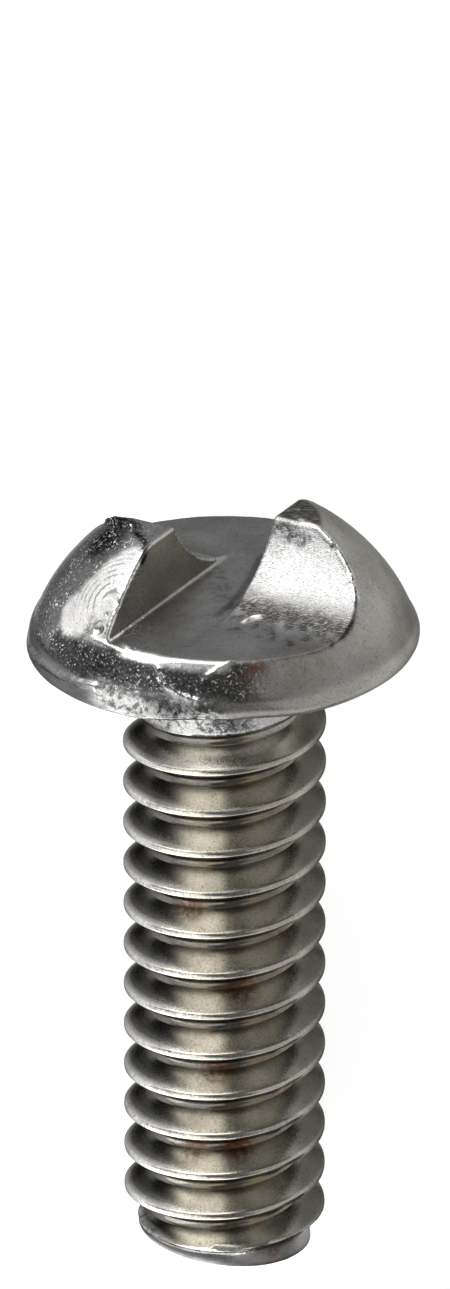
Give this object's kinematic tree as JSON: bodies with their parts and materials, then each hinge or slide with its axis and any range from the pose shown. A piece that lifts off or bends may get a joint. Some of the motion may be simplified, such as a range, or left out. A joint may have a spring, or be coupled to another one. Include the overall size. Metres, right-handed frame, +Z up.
{
  "type": "tamper proof machine screw",
  "caption": "Round head machine screw with a one-way recess: two upright drive walls tighten it, and two ramps let a driver slip off when it is turned back",
  "frame": {"origin": "On the surface that the screw lies on, below the middle of its box. It touches that surface with the rim of its head and with its last full thread.", "axes": "+Y runs along the surface from the shank's end to the head, +X runs across the screw, and +Z is up. The screw's own axis lies in the YZ plane and rises 8.4 degrees towards the head."},
  "size_m": [0.0092, 0.0186, 0.009],
  "materials": {
    "stainless_steel": "cold-headed and thread-rolled stainless steel: bright, finely pitted head, satin threads, a few brown stains in the roots"
  },
  "bodies": {
    "root": {"machine_screw": "stainless_steel"}
  },
  "joints": []
}
